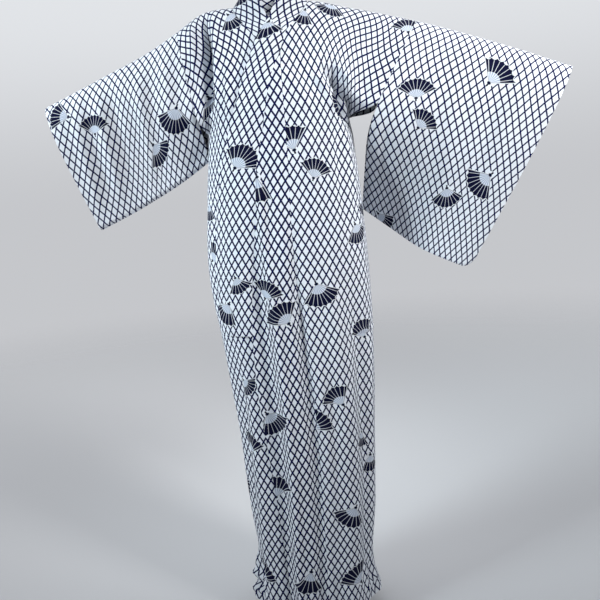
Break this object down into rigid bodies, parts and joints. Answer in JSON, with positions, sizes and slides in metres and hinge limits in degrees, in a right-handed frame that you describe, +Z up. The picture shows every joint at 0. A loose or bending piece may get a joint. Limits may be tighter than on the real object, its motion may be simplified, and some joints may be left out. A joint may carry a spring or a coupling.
{
  "type": "cotton yukata robe",
  "caption": "Ankle-length cotton yukata closed left over right with no sash, collar and hanging sleeves open and filled out as if worn, white with a navy diamond net and folding fans.",
  "frame": {"origin": "midway between the two neck points on the shoulder line, where the wearer's shoulders hold the robe up", "axes": "+Z up, -Y the way the front faces, +X towards the wearer's left, metres"},
  "size_m": [1.1582, 0.2838, 1.4891],
  "materials": {
    "front_left": "matt printed cotton",
    "front_right": "matt printed cotton",
    "okumi_left": "matt printed cotton",
    "okumi_right": "matt printed cotton",
    "back_left": "matt printed cotton",
    "back_right": "matt printed cotton",
    "collar": "matt printed cotton",
    "sleeve_left": "matt printed cotton",
    "sleeve_right": "matt printed cotton"
  },
  "bodies": {
    "root": {"front_left": "front_left", "front_right": "front_right", "okumi_left": "okumi_left", "okumi_right": "okumi_right", "back_left": "back_left", "back_right": "back_right", "collar": "collar", "sleeve_left": "sleeve_left", "sleeve_right": "sleeve_right"}
  },
  "joints": []
}
